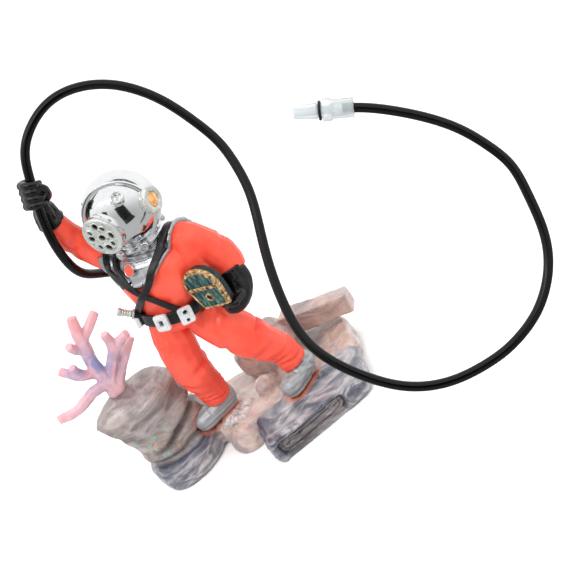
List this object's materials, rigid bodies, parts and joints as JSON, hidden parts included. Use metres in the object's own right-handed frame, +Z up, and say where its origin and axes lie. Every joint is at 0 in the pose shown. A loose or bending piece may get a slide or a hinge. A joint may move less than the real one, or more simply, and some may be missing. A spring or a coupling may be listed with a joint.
{
  "type": "bubbling ornament",
  "caption": "Aquarium ornament: helmeted diver holding a treasure chest on a rock base with coral, fed through a flexible airline with a clear tapered nozzle.",
  "frame": {"origin": "middle of the rock base, on its flat underside", "axes": "+Z up, +X along the base from the coral end to the far end, the diver seen from -Y"},
  "size_m": [0.1608, 0.101, 0.1306],
  "materials": {
    "suit": "glossy orange-red paint over resin",
    "glove": "glossy black paint over resin",
    "airline": "glossy black flexible tube",
    "webbing": "charcoal paint, slightly worn",
    "chrome_plate": "bright vacuum-plated shell",
    "boot": "pearly silver-grey paint",
    "belt_weight": "pale silver paint with dark holes",
    "window": "amber paint",
    "dark_rock": "marbled blue-grey resin",
    "grey_rock": "marbled grey-mauve resin",
    "brown_rock": "marbled brown and peach resin",
    "sand": "pink grit",
    "coral": "soft translucent pink with blue patches",
    "chest_paint": "teal panels with antique gold edges",
    "chest_gold": "antique gold paint",
    "clear_plastic": "clear moulded plastic",
    "air_stone": "open-pored bonded grit"
  },
  "bodies": {
    "ornament": {"rock_slab_left": "dark_rock", "rock_block_front": "dark_rock", "sand_bed": "sand", "rock_lobe_front": "sand", "rock_slab_right": "brown_rock", "rear_boulder": "brown_rock", "rear_beam": "brown_rock", "round_stone": "brown_rock", "rock_pillar": "grey_rock", "coral": "coral", "suit_torso": "suit", "suit_leg_right": "suit", "suit_leg_left": "suit", "suit_arm_right": "suit", "suit_arm_left": "suit", "badge": "suit", "boot_right": "boot", "boot_left": "boot", "glove_right": "glove", "glove_left": "glove", "strap_right_shoulder": "webbing", "strap_left_shoulder": "webbing", "waist_belt": "webbing", "belt_weight_1": "belt_weight", "belt_weight_2": "belt_weight", "belt_weight_3": "belt_weight", "belt_weight_4": "belt_weight", "belt_weight_5": "belt_weight", "belt_weight_6": "belt_weight", "face_grille": "belt_weight", "corselet": "chrome_plate", "knife_handle": "chrome_plate", "helmet_dome": "chrome_plate", "face_port": "chrome_plate", "side_port_left": "chrome_plate", "side_port_right": "chrome_plate", "exhaust_valve": "chrome_plate", "neck_ring": "chrome_plate", "neck_collar": "chrome_plate", "neck_bolt_1": "chrome_plate", "neck_bolt_2": "chrome_plate", "neck_bolt_3": "chrome_plate", "neck_bolt_4": "chrome_plate", "side_window_left": "window", "side_window_right": "window", "chest_box": "chest_paint", "chest_lid": "chest_paint", "chest_latch_ring": "chest_gold", "hose_through_hand": "airline", "air_inlet_barb": "clear_plastic", "inner_air_tube": "clear_plastic", "bubble_stone": "air_stone"},
    "hose_upper": {"hose_over_head": "airline"},
    "hose_middle": {"hose_past_base": "airline"},
    "hose_lower": {"hose_rising_loop": "airline"},
    "hose_end": {"hose_free_end": "airline"},
    "fitting": {"nozzle_adaptor": "clear_plastic", "seal_ring": "glove"}
  },
  "joints": [
    {"name": "hose_swing_at_hand", "type": "hinge", "parent": "ornament", "child": "hose_upper", "pos_m": [-0.0102, 0, 0.1163], "axis": [0, 0, 1], "range_deg": [-30, 40], "stiffness_Nm_per_rad": 0.02},
    {"name": "hose_bend_at_shoulder", "type": "hinge", "parent": "hose_upper", "child": "hose_middle", "pos_m": [0.0409, -0.0137, 0.0916], "axis": [0, -1, 0], "range_deg": [-4, 25], "stiffness_Nm_per_rad": 0.02},
    {"name": "hose_bend_at_floor", "type": "hinge", "parent": "hose_middle", "child": "hose_lower", "pos_m": [0.0677, -0.0704, 0.0061], "axis": [0, 0, 1], "range_deg": [-25, 30], "stiffness_Nm_per_rad": 0.02},
    {"name": "hose_bend_near_end", "type": "hinge", "parent": "hose_lower", "child": "hose_end", "pos_m": [0.1033, -0.0495, 0.042], "axis": [0, -1, 0], "range_deg": [-30, 12], "stiffness_Nm_per_rad": 0.02},
    {"name": "fitting_turn", "type": "hinge", "parent": "hose_end", "child": "fitting", "pos_m": [0.0751, -0.0267, 0.0802], "axis": [-0.8288, 0.3195, 0.4593], "continuous": true}
  ]
}
